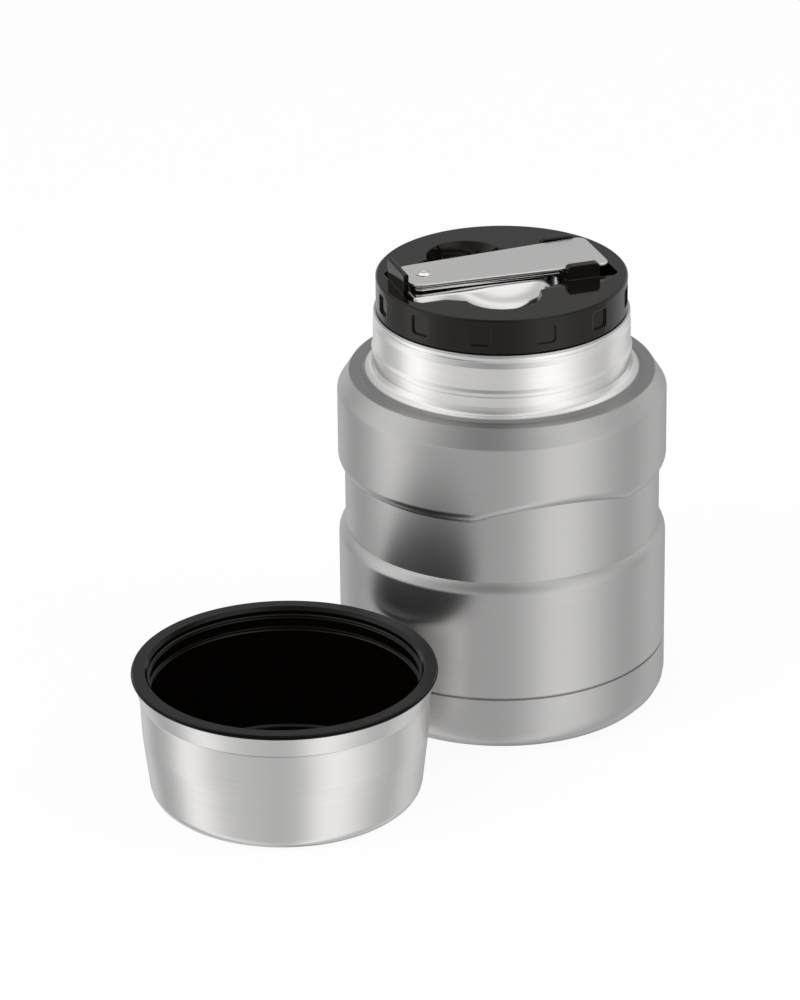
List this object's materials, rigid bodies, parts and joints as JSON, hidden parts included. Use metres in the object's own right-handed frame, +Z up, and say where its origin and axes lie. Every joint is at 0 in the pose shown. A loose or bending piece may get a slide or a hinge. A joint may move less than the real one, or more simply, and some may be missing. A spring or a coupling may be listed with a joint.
{
  "type": "insulated food jar",
  "caption": "Vacuum-insulated food jar with a drawn waist and arched front, a screw stopper that stores a folding spoon, and a separate serving cup.",
  "frame": {"origin": "on the surface the jar stands on, at the jar's axis, in the centre of its standing face", "axes": "+Z up along the jar's axis; -Y towards the jar's front, where the upper bulge is arched; the stored spoon lies along X with its rivet at -X; the cup stands beside the jar towards -X and -Y"},
  "size_m": [0.1701, 0.132, 0.1356],
  "materials": {
    "satin_steel": "satin brushed stainless steel, neck polished",
    "base_steel": "satin brushed stainless steel",
    "drawn_steel": "plain drawn stainless steel",
    "vessel_steel": "electropolished stainless steel",
    "sealing_glass": "glassy bead",
    "getter_metal": "sintered metal",
    "foil": "bright foil",
    "stopper_plastic": "fine matte grain",
    "plug_plastic": "smooth matte",
    "foam": "closed-cell foam",
    "gasket_silicone": "soft silicone",
    "handle_steel": "satin, with a polished edge",
    "spoon_steel": "polished",
    "cup_steel": "satin brushed stainless steel",
    "cup_plastic": "fine matte"
  },
  "bodies": {
    "jar": {"outer_shell": "satin_steel", "base_cap": "base_steel", "middle_bottom": "drawn_steel", "port_seal": "sealing_glass", "getter": "getter_metal", "inner_vessel": "vessel_steel", "inner_bottom": "vessel_steel", "radiation_foil": "foil"},
    "stopper_seal": {"stopper_gasket": "gasket_silicone"},
    "stopper": {"stopper_cap": "stopper_plastic", "stopper_plug": "plug_plastic", "stopper_foam": "foam"},
    "spoon": {"spoon_bowl": "spoon_steel", "spoon_rivet": "spoon_steel", "spoon_washer": "spoon_steel"},
    "spoon_handle": {"spoon_handle": "handle_steel", "spoon_spacer": "spoon_steel", "spoon_backing": "spoon_steel"},
    "cup": {"cup_shell": "cup_steel", "cup_liner": "cup_plastic"}
  },
  "joints": [
    {"name": "stopper_lift", "type": "slide", "parent": "jar", "child": "stopper_seal", "axis": [0, 0, 1], "range_m": [0, 0.06]},
    {"name": "stopper_turn", "type": "hinge", "parent": "stopper_seal", "child": "stopper", "pos_m": [0, 0, 0.12], "axis": [0, 0, 1], "range_deg": [0, 1800]},
    {"name": "spoon_lift", "type": "slide", "parent": "stopper", "child": "spoon", "axis": [0, 0, 1], "range_m": [0, 0.045]},
    {"name": "handle_swivel", "type": "hinge", "parent": "spoon", "child": "spoon_handle", "pos_m": [-0.0233, 0, 0.131], "axis": [0, 0, 1], "range_deg": [0, 180]},
    {"name": "cup_lift", "type": "slide", "parent": "jar", "child": "cup", "axis": [0, 0, 1], "range_m": [0, 0.08]}
  ],
  "couplings": [
    {"joint": "stopper_turn", "follows": "stopper_lift", "rad_per_m": 523.6},
    {"joint": "handle_swivel", "follows": "spoon_lift", "rad_per_m": 69.813}
  ]
}
